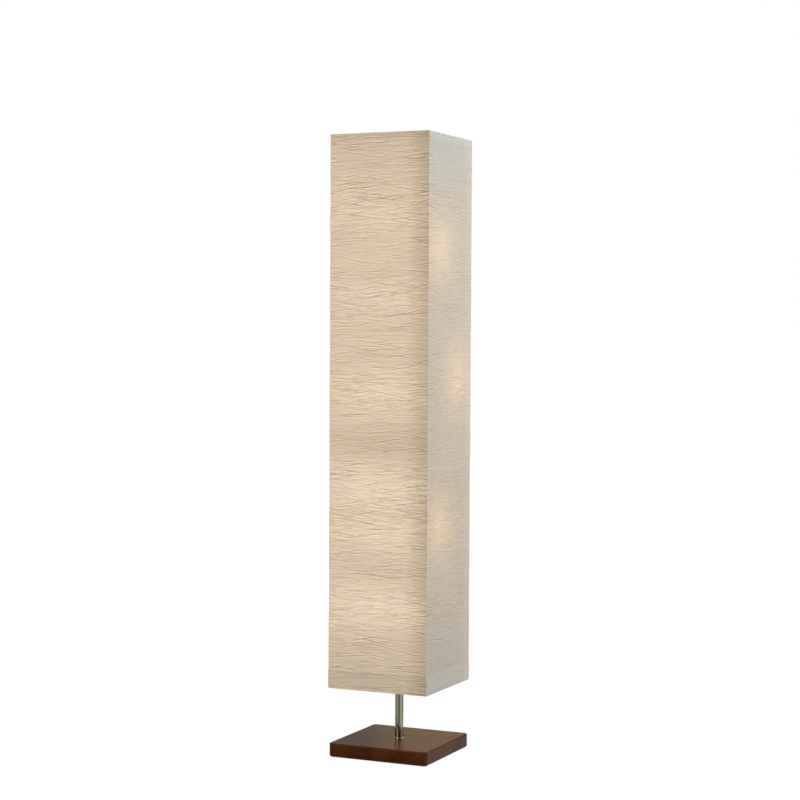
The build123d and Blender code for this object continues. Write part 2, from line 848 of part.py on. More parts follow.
rod_spacing = 2 * rod_half
socket_bore = wire_radius + thread_gap
rod_foot = bottom_ring_height + wire_radius
rod_head = top_ring_height - wire_radius
with BuildPart() as rod_sockets:
    for foot in (rod_foot, rod_head - socket_length):
        with BuildSketch(Plane.XY.offset(foot)):
            with GridLocations(rod_spacing, rod_spacing, 2, 2):
                Circle(socket_bore + socket_wall)
                Circle(socket_bore, mode=Mode.SUBTRACT)
        extrude(amount=socket_length)
write(rod_sockets, "rod_sockets")

with BuildPart() as corner_rods:
    with BuildSketch(Plane.XY.offset(rod_foot + fit_gap)):
        with GridLocations(rod_spacing, rod_spacing, 2, 2):
            Circle(wire_radius)
    extrude(amount=rod_head - rod_foot - 2 * fit_gap)
write(corner_rods, "corner_rods")

with BuildPart() as shade_hub:
    with BuildSketch(Plane.XY.offset(hub_under)):
        Circle(hub_diameter / 2)
        Circle(nipple_hole, mode=Mode.SUBTRACT)
    extrude(amount=hub_thickness)
write(shade_hub, "shade_hub")

with BuildPart() as hub_arm:
    with BuildLine(Plane.XZ):
        route = FilletPolyline(
            (hub_diameter / 2 - arm_overlap, hub_top + wire_radius),
            (ring_half, hub_top + wire_radius),
            (ring_half, rod_head),
            radius=arm_bend,
        )
    with BuildSketch(Plane(origin=route @ 0, z_dir=route % 0)):
        Circle(wire_radius)
    sweep()
with BuildPart() as hub_arms:
    with PolarLocations(0, 4):
        add(hub_arm.part)
write(hub_arms, "hub_arms")

with BuildPart() as guide_ring:
    with BuildSketch(Plane.XY.offset(bottom_ring_height - guide_height / 2)):
        Circle(guide_outer_radius)
        Circle(guide_inner_radius, mode=Mode.SUBTRACT)
    extrude(amount=guide_height)
write(guide_ring, "guide_ring")

with BuildPart() as guide_arm:
    with BuildSketch(Plane.YZ.offset(guide_outer_radius)):
        with Locations((0, bottom_ring_height)):
            Circle(wire_radius)
    extrude(amount=ring_half - wire_radius - guide_outer_radius)
with BuildPart() as guide_arms:
    with PolarLocations(0, 4):
        add(guide_arm.part)
write(guide_arms, "guide_arms")

with BuildPart() as guide_bush:
    with BuildSketch(Plane.XY.offset(bottom_ring_height - guide_height / 2)):
        Circle(guide_bush_radius)
        Circle(guide_bush_bore, mode=Mode.SUBTRACT)
    extrude(amount=guide_height)
    with BuildSketch(Plane.XY.offset(bottom_ring_height + guide_height / 2)):
        Circle(guide_bush_radius + guide_bush_rim)
        Circle(guide_bush_bore, mode=Mode.SUBTRACT)
    extrude(amount=guide_bush_flange)
write(guide_bush, "guide_bush")

with BuildPart() as finial_washer:
    with BuildSketch(Plane.XY.offset(hub_top)):
        Circle(finial_washer_diameter / 2)
        Circle(nipple_radius + fit_gap, mode=Mode.SUBTRACT)
    extrude(amount=finial_washer_thickness)
write(finial_washer, "finial_washer")

# ================================================================ Finial
with BuildPart() as finial_insert:
    with BuildSketch(Plane.XY.offset(finial_under)):
        Circle(finial_insert_diameter / 2)
        Circle(nipple_hole, mode=Mode.SUBTRACT)
    extrude(amount=finial_insert_length)
write(finial_insert, "finial_insert")

finial_radius = finial_diameter / 2
insert_hole = finial_insert_diameter / 2 + thread_gap
with BuildPart() as finial_knob:
    with BuildSketch(profile_plane((0, 0, finial_under))):
        with BuildLine():
            dome = dome_arc((0, finial_height), finial_radius, -finial_dome)
            Polyline(
                dome @ 1,
                (finial_radius, 0),
                (insert_hole, 0),
                (insert_hole, finial_insert_length + thread_gap),
                (0, finial_insert_length + thread_gap),
                (0, finial_height),
            )
        make_face()
    revolve(axis=upright((0, 0, finial_under)))
    with BuildSketch(Plane.XY.offset(finial_under)):
        with PolarLocations(finial_radius, knurl_count):
            Circle(knurl_diameter / 2)
    extrude(amount=finial_height, mode=Mode.SUBTRACT)
write(finial_knob, "finial_knob")
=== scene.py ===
"""A column floor lamp: a tall sleeve of crinkled paper, lit from inside, on a nickel pole and a dark base.

Lengths are in metres, in the lamp's own frame: the floor is z = 0 and the pole stands on the Z axis.
The sleeve's four faces are called front (-Y), right (+X), back (+Y) and left (-X).
"""
import json
import math

import bpy
import numpy as np
from mathutils import Matrix, Vector


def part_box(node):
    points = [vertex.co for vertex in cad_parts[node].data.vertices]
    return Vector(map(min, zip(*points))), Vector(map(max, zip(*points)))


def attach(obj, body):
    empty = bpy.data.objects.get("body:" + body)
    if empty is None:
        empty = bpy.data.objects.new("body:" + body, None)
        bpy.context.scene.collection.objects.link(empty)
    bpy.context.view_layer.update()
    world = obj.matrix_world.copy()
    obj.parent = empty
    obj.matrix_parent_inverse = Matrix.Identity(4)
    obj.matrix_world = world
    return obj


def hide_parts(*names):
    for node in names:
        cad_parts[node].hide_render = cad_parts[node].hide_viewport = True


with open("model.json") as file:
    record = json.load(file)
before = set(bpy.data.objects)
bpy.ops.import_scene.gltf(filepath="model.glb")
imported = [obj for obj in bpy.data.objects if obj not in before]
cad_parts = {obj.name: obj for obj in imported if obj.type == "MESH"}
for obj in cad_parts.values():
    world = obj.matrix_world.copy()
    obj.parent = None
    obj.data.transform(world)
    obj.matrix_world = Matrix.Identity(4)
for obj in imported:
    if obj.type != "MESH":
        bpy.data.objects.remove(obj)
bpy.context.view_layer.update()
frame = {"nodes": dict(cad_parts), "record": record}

# ---------------------------------------------------------------- sizes of the paper sleeve

sleeve_low, sleeve_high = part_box("paper_sleeve")
half_width = sleeve_high.x
bottom_z = sleeve_low.z
top_z = sleeve_high.z
corner_radius = 0.003  # of the solid sleeve, by which the columns are spaced
fold_radius = 0.0012  # of the paper, which folds more sharply
least_fold_radius = 0.0004
wire_radius = 0.0015
wire_slack = 0.0005
wrap_radius = wire_radius + wire_slack
wrap_steps = 7
hem_gap = 0.0009
bottom_hem = 0.048
top_hem = 0.018

flat_run = 2 * (half_width - corner_radius)
corner_arc = corner_radius * math.pi / 2
face_run = flat_run + corner_arc
perimeter = 4 * face_run
column_pitch = 0.003
corner_columns = 3
row_pitch = 0.0013
flap_pitch = 0.004

face_order = ("front", "right", "back", "left")
face_along = {"front": (1, 0), "right": (0, 1), "back": (-1, 0), "left": (0, -1)}
face_normal = {"front": (0, -1), "right": (1, 0), "back": (0, 1), "left": (-1, 0)}

# ---------------------------------------------------------------- creases and relief

seed = 1603
# length and spacing in metres, slope as rise over run, fold depth and width in metres, strength of its line
# of painted shade
crease_families = (
    {"length": (0.060, 0.160), "spacing": 0.0170, "slope": (0.07, 0.22),
     "depth": 0.00050, "width": 0.0026, "ink": 1.20},
    {"length": (0.035, 0.100), "spacing": 0.0115, "slope": (0.03, 0.16),
     "depth": 0.00032, "width": 0.0018, "ink": 1.00},
    {"length": (0.040, 0.120), "spacing": 0.0080, "slope": (0.00, 0.05),
     "depth": 0.00024, "width": 0.0015, "ink": 0.68},
    {"length": (0.012, 0.040), "spacing": 0.0060, "slope": (0.00, 0.16),
     "depth": 0.00016, "width": 0.0011, "ink": 0.68},
)
steep_slope = 0.1  # families that get steeper than this gather about the painted light belts
gathered_share = 0.55
belt_gather = 0.032  # how closely they gather
bowed_half_length = 0.05
crease_bow = 0.0024  # usual rise at the ends of a crease with that half length
crease_waver = (0.0001, 0.0005)
crease_waves = (1.0, 4.0)
crease_weights = (0.35, 1.0)
fade_power = 0.6
beat_depth = 0.25  # how much a crease's strength comes and goes along it
beat_rate = 2.3
fold_reach = 5  # widths of a fold, past which it is left out
# width of the line of painted shade along each fold, and the offset and width of the painted highlights
# beside it
line_width = 0.00098
fold_highlight_offset = 0.0023
fold_highlight_width = 0.0011

# how coarse each soft random field is, round the sleeve and up it
cloud_cell = (0.075, 0.030)
band_cell = (0.34, 0.055)
swell_cell = (0.110, 0.060)
ripple_cell = (0.030, 0.0052)
swell_height = 0.00032
ripple_height = 0.00014
deepest_fold = -0.0022
highest_fold = 0.0009
hem_flare = 0.0009  # how far the doubled paper stands out
hem_flare_rise = 0.004
side_vigour = 0.50  # share of the crinkle on the right and left faces
vigour_turn = 3  # how quickly it changes round a corner
edge_calm = 0.003  # the paper is calm this near to its top and bottom
edge_rise = 0.008
edge_crinkle = 0.10
arm_foot = 1.415  # from here up, the hub's arms hold the middle of each face flat
arm_rise = 0.012
arm_reach = 0.007
arm_hold = 0.92

# ---------------------------------------------------------------- light and tone of the paper

globe_radius = 0.030
filament_drop = 0.015  # below the middle of the globe
spot_forward = 0.010  # a side face's spots lie this much nearer to the front
spot_slope = 0.60  # a spot's radius is this share of the bulb's distance, and spot_edge more
spot_edge = 0.02
spot_power = 1.6
distance_power = 0.5
bulb_places = []
for level in ("lower", "middle", "upper"):
    low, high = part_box(f"bulb_glass_{level}")
    bulb_places.append(((low.x + high.x) / 2, (low.y + high.y) / 2, high.z - globe_radius - filament_drop))

# even: light that the paper gives everywhere; spot: what a bulb adds where it is nearest;
# ends: share of the even light that is left at the sleeve's top and bottom;
# light_and_shade_bands: how much of the soft belts of painted light and shade shows in the light; hem: share
# of the light that a hem takes
face_light = {
    "front": {"even": 0.295, "spot": 0.030, "ends": (0.92, 0.80), "light_and_shade_bands": 0.15, "hem": 0.17},
    "right": {"even": 0.096, "spot": 0.246, "ends": (0.0, 0.42), "light_and_shade_bands": 0.04, "hem": 0.05},
    "back": {"even": 0.265, "spot": 0.100, "ends": (0.70, 0.50), "light_and_shade_bands": 0.04, "hem": 0.05},
    "left": {"even": 0.165, "spot": 0.190, "ends": (0.45, 0.55), "light_and_shade_bands": 0.04, "hem": 0.05},
}
top_fade_start = 1.29
bottom_fade_start = 0.345
belt_middle = 0.35
tone_gain = 0.035
corner_loss = 0.06
corner_loss_width = 0.012
seam_loss = 0.22
seam_shade_reach = 0.066
# how much of the glow a crease line's painted shade takes, and how much a painted highlight beside a fold
# adds, to the glow and to the paper's colour
line_loss = 0.66
fold_highlight_gain = 0.50
ripple_gain = 0.060
# the right face alone: brighter at its near and far edge, dimmer over its near part
near_edge_gain = 0.035
near_edge_width = 0.010
far_edge_gain = 0.025
far_edge_width = 0.016
near_part_loss = 0.020
near_part_share = 2 / 3

# soft belts of painted light and shade across the front: height, half height, and how much paler (above 0) or
# browner (below 0) it is
painted_light_belts = (
    (1.295, 0.046, 0.9),
    (1.090, 0.040, 1.1),
    (0.868, 0.044, 1.0),
    (0.640, 0.044, 1.5),
    (0.535, 0.036, 1.1),
    (0.364, 0.044, 1.6),
)
painted_shade_belts = ((0.752, 0.034, -0.9), (0.450, 0.018, -0.25), (0.250, 0.024, -0.1))
belt_half_width = 0.160

hem_edge = 0.003  # height over which a hem's shade sets in
# how dark the paper is, from -1 for white to 1 for the brown of a fold's painted shade: its own tint, with
# painted shade and painted light laid over it
plain_tone = 0.20
# on the front face
# painted shade along the front face's right edge, by the corner where the paper's ends overlap, with its
# crease lines darkened more there
seam_shade_tone = 0.30
seam_line_gain = 0.05
front_low_tone = 0.12
front_high_tone = 0.10
front_high_start = 1.38
front_hem_tone = 0.08
# on the right, back and left faces; the edge tone is painted light, paler towards each face's far edge
side_edge_painted_light = -0.14
side_edge_width = 0.042
side_hem_tone = -0.10
# on the right face alone: painted light, paler towards its top, where the light from the upper right falls
right_top_painted_light = -0.13
right_top_start = 1.30


# ---------------------------------------------------------------- crinkled paper

def bell(distance, width):
    """exp(-(distance / width)^2): 1 in the middle, falling to 0 on both sides."""
    return np.exp(-((distance / width) ** 2))


def ease(value):
    """3t^2 - 2t^3 of the value held to 0..1: a smooth step."""
    t = np.clip(value, 0, 1)
    return t * t * (3 - 2 * t)


def sleeve_columns():
    """Distances along one face's run of its columns: half a corner arc, the flat run, half a corner arc."""
    arc = np.linspace(0, corner_arc / 2, corner_columns, endpoint=False)
    flat = np.linspace(corner_arc / 2, corner_arc / 2 + flat_run, round(flat_run / column_pitch) + 1)
    return np.concatenate([arc, flat, face_run - arc[::-1]])


def sleeve_rows():
    """The paper's path from its bottom hem, round the lower wire, up the face, round the upper wire and down.

    Each row has a height, an inset from the outer face and a share of the crinkle. Round a wire the path is
    a half circle; the hems run straight behind the face.
    """
    turn = np.linspace(0, math.pi, wrap_steps)[1:-1]
    wrap = wrap_radius
    low_flap = np.linspace(bottom_z + bottom_hem, bottom_z + 4 * wrap, round(bottom_hem / flap_pitch))
    top_flap = np.linspace(top_z - 4 * wrap, top_z - top_hem, round(top_hem / flap_pitch))
    face = np.linspace(bottom_z + wrap, top_z - wrap, round((top_z - bottom_z) / row_pitch))
    height = np.concatenate([
        low_flap,
        [bottom_z + 1.5 * wrap],
        bottom_z + wrap - wrap * np.sin(turn),
        face,
        top_z - wrap + wrap * np.sin(turn),
        [top_z - 1.5 * wrap],
        top_flap,
    ])
    inset = np.concatenate([
        np.full(len(low_flap), hem_gap),
        [2 * wrap],
        wrap + wrap * np.cos(turn),
        np.zeros(len(face)),
        wrap - wrap * np.cos(turn),
        [2 * wrap],
        np.full(len(top_flap), hem_gap),
    ])
    above = ease((height - bottom_z - edge_calm) / edge_rise)
    below = ease((top_z - height - edge_calm) / edge_rise)
    crinkle = np.where(inset > 0, 0.0, 1.0)
    return height, inset, crinkle * (edge_crinkle + (1 - edge_crinkle) * above * below)


def eased_noise(rng, s, z, s_cell, z_cell):
    """Random values on a lattice, eased between its points and joined up round the sleeve."""
    across = max(3, round(perimeter / s_cell))
    up = int((top_z - bottom_z) / z_cell) + 3
    lattice = rng.normal(size=(up, across))
    a = (s / perimeter * across) % across
    b = (z - bottom_z) / z_cell + 0.5
    a0 = np.floor(a).astype(int)
    b0 = np.floor(b).astype(int)
    ta = ease(a - a0)
    tb = ease(b - b0)[:, None]
    left = a0 % across
    right = (a0 + 1) % across
    lower = np.clip(b0, 0, up - 1)[:, None]
    upper = np.clip(b0 + 1, 0, up - 1)[:, None]
    low = lattice[lower, left] * (1 - ta) + lattice[lower, right] * ta
    high = lattice[upper, left] * (1 - ta) + lattice[upper, right] * ta
    return low * (1 - tb) + high * tb


def crease_fields(s, z):
    """Height, painted shade line and painted highlights of every crease on the grid of columns s and rows z.

    A crease is a gently bowed and wavering line. Across it the height falls as exp(-|d| / width), the line of
    painted shade is a bell curve, and the painted highlights are a bell curve on each side. Along it all
    three fade out as (1 - t^2)^0.6, where t runs from -1 to 1.
    """
    rng = np.random.default_rng(seed)
    height = np.zeros((len(z), len(s)))
    ink = np.zeros_like(height)
    fold_highlight = np.zeros_like(height)
    belt_heights = [belt[0] for belt in painted_light_belts]
    for family in crease_families:
        shortest, longest = family["length"]
        count = round(perimeter * (top_z - bottom_z) / (family["spacing"] * (shortest + longest) / 2))
        centres = rng.uniform((0, bottom_z), (perimeter, top_z), size=(count, 2))
        in_belt = rng.choice(belt_heights, count) + rng.normal(0, belt_gather, count)
        if family["slope"][1] > steep_slope:
            centres[:, 1] = np.where(rng.uniform(size=count) < gathered_share, in_belt, centres[:, 1])
        halves = rng.uniform(shortest, longest, count) / 2
        slopes = rng.uniform(*family["slope"], count) * rng.choice((-1, 1), count)
        bows = rng.normal(0, crease_bow, count) * halves / bowed_half_length
        wavers = rng.uniform(*crease_waver, count)
        waves = rng.uniform(*crease_waves, count)
        phases = rng.uniform(0, 2 * math.pi, (count, 2))
        weights = rng.uniform(*crease_weights, count)
        reach = fold_reach * family["width"]
        for n in range(count):
            away = (s - centres[n, 0] + perimeter / 2) % perimeter - perimeter / 2
            columns = np.nonzero(np.abs(away) < halves[n])[0]
            if len(columns) < 3:
                continue
            t = away[columns] / halves[n]
            line = centres[n, 1] + slopes[n] * away[columns] + bows[n] * t * t
            line += wavers[n] * np.sin(waves[n] * math.pi * t + phases[n, 0])
            fade = (1 - t * t) ** fade_power * weights[n]
            fade *= 1 - beat_depth + beat_depth * np.sin(beat_rate * waves[n] * t + phases[n, 1])
            first, last = np.searchsorted(z, (line.min() - reach, line.max() + reach))
            if last - first < 2:
                continue
            gap = np.abs(z[first:last, None] - line)
            cell = np.ix_(np.arange(first, last), columns)
            height[cell] -= family["depth"] * fade * np.exp(-gap / family["width"])
            line_ink = family["ink"] * fade * bell(gap, line_width)
            highlight_line = family["ink"] * fade * bell(gap - fold_highlight_offset, fold_highlight_width)
            ink[cell] = np.maximum(ink[cell], line_ink)
            fold_highlight[cell] = np.maximum(fold_highlight[cell], highlight_line)
    return height, ink, fold_highlight * np.clip(1 - ink, 0, 1)


class Sleeve:
    """The whole paper sleeve on one grid of rows and columns. Each face is a slice of it, so they meet."""

    def __init__(self):
        face_columns = sleeve_columns()
        self.face_count = len(face_columns) - 1
        starts = np.arange(4)[:, None] * face_run
        self.s = np.concatenate([(starts + face_columns[:-1]).ravel(), [perimeter]])
        self.z, self.inset, self.crinkle = sleeve_rows()
        outer = np.nonzero(self.inset == 0)[0]
        fields = [np.zeros((len(self.z), len(self.s))) for _ in range(3)]
        for field, values in zip(fields, crease_fields(self.s[:-1], self.z[outer])):
            field[outer, :-1] = values
            field[outer, -1] = values[:, 0]
        self.height, self.ink, self.fold_highlight = fields
        # 1 amid the front and the back, -1 amid the right and the left, 0 at the corners
        facing = np.cos(math.pi * (self.s / face_run - 0.5))
        self.vigour = 1 - (1 - side_vigour) * ease(0.5 - facing * vigour_turn)
        rng = np.random.default_rng(seed + 1)
        self.cloud = eased_noise(rng, self.s, self.z, *cloud_cell)
        self.band = eased_noise(rng, self.s, self.z, *band_cell)
        self.swell = eased_noise(rng, self.s, self.z, *swell_cell)
        self.ripple = eased_noise(rng, self.s, self.z, *ripple_cell)

    def face(self, index):
        """One face's columns, and their distances along its run."""
        columns = np.arange(index * self.face_count, (index + 1) * self.face_count + 1)
        return columns, self.s[columns] - index * face_run

    def relief(self, columns):
        """Height of the paper above its flat face: creases, a shallow swell and fine ripples."""
        crumple = self.height[:, columns] + swell_height * self.swell[:, columns]
        crumple += ripple_height * self.ripple[:, columns]
        crumple *= self.vigour[columns]
        flare = hem_flare * ease((bottom_z + bottom_hem - self.z) / hem_flare_rise)
        aside = (self.s[columns] + face_run / 2) % face_run
        beside_arm = bell(np.minimum(aside, face_run - aside), arm_reach)
        beside_arm = beside_arm * ease((self.z[:, None] - arm_foot) / arm_rise)
        held = self.crinkle[:, None] * (1 - arm_hold * beside_arm)
        return held * (np.clip(crumple, deepest_fold, highest_fold) + flare[:, None])

    def points(self, name, index):
        """Places of one face's grid: the rounded square at each row's inset, pushed out by the relief."""
        columns, run = self.face(index)
        turn = np.clip((run - face_run + corner_arc / 2) / corner_radius, 0, math.pi / 4)
        turn -= np.clip((corner_arc / 2 - run) / corner_radius, 0, math.pi / 4)
        flat = np.clip(run - corner_arc / 2, 0, flat_run) / flat_run * 2 - 1
        half = half_width - self.inset[:, None]
        radius = np.maximum(fold_radius - self.inset, least_fold_radius)[:, None]
        relief = self.relief(columns)
        along = flat * (half - radius) + (radius + relief) * np.sin(turn)
        out = half - radius + (radius + relief) * np.cos(turn)
        ax, ay = face_along[name]
        nx, ny = face_normal[name]
        height = np.broadcast_to(self.z[:, None], out.shape)
        return np.stack([ax * along + nx * out, ay * along + ny * out, height], axis=-1)

    def light_and_shade_bands(self, run):
        """How much paler (above 0) or browner (below 0) the soft belts of painted light and shade make each
        point of a face.
        """
        heights = sum(gain * bell(self.z - height, half) for height, half, gain in painted_light_belts + painted_shade_belts)
        return heights[:, None] * bell(run - face_run / 2, belt_half_width)

    def hemmed(self):
        """1 where a hem lies behind the face, at the top and at the bottom."""
        low = ease((bottom_z + bottom_hem - self.z) / hem_edge)
        high = ease((self.z - top_z + top_hem) / hem_edge)
        return (low + high)[:, None]

    def near_bottom(self):
        """0 to 1 towards the sleeve's bottom."""
        return ease((bottom_fade_start - self.z) / (bottom_fade_start - bottom_z))

    def near_top(self, start):
        """0 to 1 from a height up to the sleeve's top."""
        return ease((self.z - start) / (top_z - start))

    def seam_shade(self, name, run):
        """0 to 1 towards the front face's right edge, where the paper's ends overlap."""
        if name != "front":
            return np.zeros_like(run)
        return ease(1 - (face_run - run) / seam_shade_reach)

    def light(self, name, index):
        """How strongly each point of a face glows.

        An even light, plus one soft round spot for each bulb, (1 + (distance / radius)^2)^-1.6, less what
        the corner rods, the hems, the overlapped corner and the painted shade of the crease lines take away,
        and with painted highlights beside the folds.
        """
        columns, run = self.face(index)
        along = run - face_run / 2
        ax, ay = face_along[name]
        nx, ny = face_normal[name]
        level = face_light[name]
        top_share, bottom_share = level["ends"]
        even = 1 - (1 - top_share) * self.near_top(top_fade_start)
        even *= 1 - (1 - bottom_share) * self.near_bottom()
        glow = np.repeat(level["even"] * even[:, None], len(columns), axis=1)
        for x, y, z in bulb_places:
            distance = half_width - (nx * x + ny * y)
            aside = along - (ax * x + ay * (y - spot_forward))
            spread = spot_slope * distance + spot_edge
            away = (aside[None, :] ** 2 + (self.z[:, None] - z) ** 2) / spread ** 2
            glow += level["spot"] * (half_width / distance) ** distance_power / (1 + away) ** spot_power
        glow *= 1 + level["light_and_shade_bands"] * (self.light_and_shade_bands(run) - belt_middle)
        glow *= 1 + tone_gain * np.tanh(self.band[:, columns]) + tone_gain * np.tanh(self.cloud[:, columns])
        glow *= 1 - level["hem"] * self.hemmed()
        glow *= 1 - corner_loss * bell(face_run / 2 - np.abs(along), corner_loss_width)
        glow *= 1 - seam_loss * self.seam_shade(name, run)
        strength = self.vigour[columns]
        line = line_loss * np.minimum(self.ink[:, columns], 1) - fold_highlight_gain * self.fold_highlight[:, columns]
        glow *= 1 - strength * line
        glow *= 1 + ripple_gain * strength * np.tanh(self.ripple[:, columns])
        if name == "right":
            glow += near_edge_gain * bell(run, near_edge_width)
            glow += far_edge_gain * bell(face_run - run, far_edge_width)
            glow -= near_part_loss * ease(1 - run / (near_part_share * face_run))
        return glow

    def dark(self, name, index):
        """How dark each point's paper is: its own tint and hems, painted shade in the folds, at the seam and
        in the brown belts, and painted light beside the folds, in the pale belts, at the side faces' far
        edges and atop the right face.
        """
        columns, run = self.face(index)
        seam = self.seam_shade(name, run)
        line = (1 + seam_line_gain * seam) * self.ink[:, columns] - fold_highlight_gain * self.fold_highlight[:, columns]
        if name == "front":
            between = plain_tone * (1 - self.light_and_shade_bands(run))
            ends = front_low_tone * self.near_bottom() + front_high_tone * self.near_top(front_high_start)
            between = between + ends[:, None] + front_hem_tone * self.hemmed()
        else:
            between = plain_tone + side_edge_painted_light * bell(face_run - run, side_edge_width)
            between = between + side_hem_tone * self.hemmed()
        if name == "right":
            between = between + right_top_painted_light * self.near_top(right_top_start)[:, None]
        return np.clip(self.vigour[columns] * line + seam_shade_tone * seam + between, -1, 1)


def grid_faces(rows, columns):
    """Quads of a grid of rows x columns points, wound so that they face away from the lamp."""
    index = np.arange(rows * columns).reshape(rows, columns)
    quads = np.stack([index[:-1, :-1], index[:-1, 1:], index[1:, 1:], index[1:, :-1]], axis=-1)
    return quads.reshape(-1, 4)


def mesh_from_grid(name, points):
    """A smooth-shaded mesh object of a grid of points."""
    rows, columns = points.shape[:2]
    quads = grid_faces(rows, columns)
    mesh = bpy.data.meshes.new(name)
    mesh.vertices.add(rows * columns)
    mesh.vertices.foreach_set("co", points.reshape(-1).astype(np.float32))
    mesh.loops.add(quads.size)
    mesh.loops.foreach_set("vertex_index", quads.ravel().astype(np.int32))
    mesh.polygons.add(len(quads))
    mesh.polygons.foreach_set("loop_start", np.arange(0, quads.size, 4, dtype=np.int32))
    mesh.polygons.foreach_set("use_smooth", np.ones(len(quads), dtype=bool))
    mesh.update(calc_edges=True)
    mesh.validate()
    piece = bpy.data.objects.new(name, mesh)
    bpy.context.scene.collection.objects.link(piece)
    return piece


def point_attribute(piece, name, values):
    """Keeps one number for each of a piece's points, for its material to read."""
    attribute = piece.data.attributes.new(name, "FLOAT", "POINT")
    attribute.data.foreach_set("value", values.ravel().astype(np.float32))


# ---------------------------------------------------------------- materials

noise_range = (0.3, 0.7)  # most of a noise lies in it
metal_depth = 0.000004
moulded_depth = 0.00004


class Finish:
    """A material's nodes, with short calls for what the lamp's finishes need."""

    def __init__(self, name, color, roughness, metallic=0.0):
        self.material = bpy.data.materials.new(name)
        self.material.use_nodes = True
        self.tree = self.material.node_tree
        self.shader = self.tree.nodes["Principled BSDF"]
        self.place = self.tree.nodes.new("ShaderNodeTexCoord").outputs["Object"]
        self.constants(Base_Color=(*color, 1), Roughness=roughness, Metallic=metallic)

    def constants(self, **values):
        """Sets values on the shader's own sockets; an underscore stands for a space."""
        for name, value in values.items():
            self.shader.inputs[name.replace("_", " ")].default_value = value

    def node(self, kind, **values):
        """A new node, with constants on its sockets; an underscore stands for a space."""
        node = self.tree.nodes.new(kind)
        for name, value in values.items():
            node.inputs[name.replace("_", " ")].default_value = value
        return node

    def link(self, source, target):
        """Joins an output to an input."""
        self.tree.links.new(source, target)

    def stretched(self, scale):
        """Object coordinates scaled by axis, for a pattern with a direction."""
        mapping = self.node("ShaderNodeMapping", Scale=scale)
        self.link(self.place, mapping.inputs["Vector"])
        return mapping.outputs["Vector"]

    def noise(self, scale, detail=3.0, rough=0.55, where=None, warp=0.0):
        """A soft random pattern over the piece, finer at a higher scale."""
        node = self.node("ShaderNodeTexNoise", Scale=scale, Detail=detail, Roughness=rough, Distortion=warp)
        self.link(where or self.place, node.inputs["Vector"])
        return node.outputs["Fac"]

    def attribute(self, name):
        """A number that the piece keeps for each of its points."""
        node = self.node("ShaderNodeAttribute")
        node.attribute_name = name
        return node.outputs["Fac"]

    def span(self, value, low, high, start=0.0, end=1.0):
        """value from start..end carried to low..high, and held at both ends."""
        node = self.node("ShaderNodeMapRange", From_Min=start, From_Max=end, To_Min=low, To_Max=high)
        self.link(value, node.inputs["Value"])
        return node.outputs["Result"]

    def combine(self, operation, first, second):
        """Two values added or multiplied."""
        node = self.node("ShaderNodeMath")
        node.operation = operation
        self.link(first, node.inputs[0])
        self.link(second, node.inputs[1])
        return node.outputs["Value"]

    def mix(self, amount, first, second):
        """Two colours mixed; each is a colour or another node's output."""
        node = self.node("ShaderNodeMix")
        node.data_type = "RGBA"
        sockets = [s for s in node.inputs if s.type == "RGBA"]
        for socket, value in zip(sockets, (first, second)):
            if isinstance(value, tuple):
                socket.default_value = (*value, 1)
            else:
                self.link(value, socket)
        self.link(amount, node.inputs["Factor"])
        return [s for s in node.outputs if s.type == "RGBA"][0]

    def color(self, source):
        """Takes the surface's colour from another node's output."""
        self.link(source, self.shader.inputs["Base Color"])

    def rough(self, source):
        """Takes the surface's roughness from another node's output."""
        self.link(source, self.shader.inputs["Roughness"])

    def glow(self, color, amount):
        """Light of one colour that the surface gives off, by another node's output."""
        node = self.node("ShaderNodeVectorMath")
        node.operation = "SCALE"
        node.inputs[0].default_value = color
        self.link(amount, node.inputs["Scale"])
        self.link(node.outputs["Vector"], self.shader.inputs["Emission Color"])
        self.constants(Emission_Strength=1.0)

    def bump(self, height, distance, strength):
        """Tilts the surface's shading by a pattern of fine heights."""
        node = self.node("ShaderNodeBump", Strength=strength, Distance=distance)
        self.link(height, node.inputs["Height"])
        self.link(node.outputs["Normal"], self.shader.inputs["Normal"])


def paper_finish():
    """Off-white paper with fine fibres; painted shade in its creases, and the bulbs' light through it painted
    on as a glow.
    """
    plain_paper = (0.48, 0.47, 0.43)
    cream = (0.517, 0.504, 0.451)
    ivory = (0.548, 0.538, 0.490)
    fibre_grey = (0.40, 0.38, 0.33)
    # the paper's own brown tint, also used for painted shade in its folds, at the seam and in the brown
    # belts; then the white of its painted highlights and painted light, and of its paler side hems
    tint_and_shade_brown = (0.190, 0.142, 0.096)
    highlight_white = (0.74, 0.73, 0.68)
    lamplight = (1.0, 0.560, 0.194)
    finish = Finish("crinkled_paper", plain_paper, 0.88)
    finish.constants(Specular_IOR_Level=0.15)
    fibre = finish.noise(1.0, 4.0, 0.65, finish.stretched((260, 260, 1500)))
    cloud = finish.noise(38.0, 3.0, 0.5)
    plain = finish.mix(finish.span(cloud, 0, 1, *noise_range), cream, ivory)
    marked = finish.mix(finish.span(fibre, 0, 0.22, 0.35, 0.8), plain, fibre_grey)
    # the paper's tint and hems, with its painted shade and painted light, as the sleeve works them out for
    # each point
    dark = finish.attribute("dark")
    tinted_and_shaded = finish.mix(finish.span(dark, 0, 0.95), marked, tint_and_shade_brown)
    finish.color(finish.mix(finish.span(dark, 0.9, 0, -1, 0), tinted_and_shaded, highlight_white))
    fleck = finish.span(fibre, 0.93, 1.06, *noise_range)
    finish.glow(lamplight, finish.combine("MULTIPLY", finish.attribute("glow"), fleck))
    finish.bump(fibre, 0.00012, 0.6)
    return finish.material


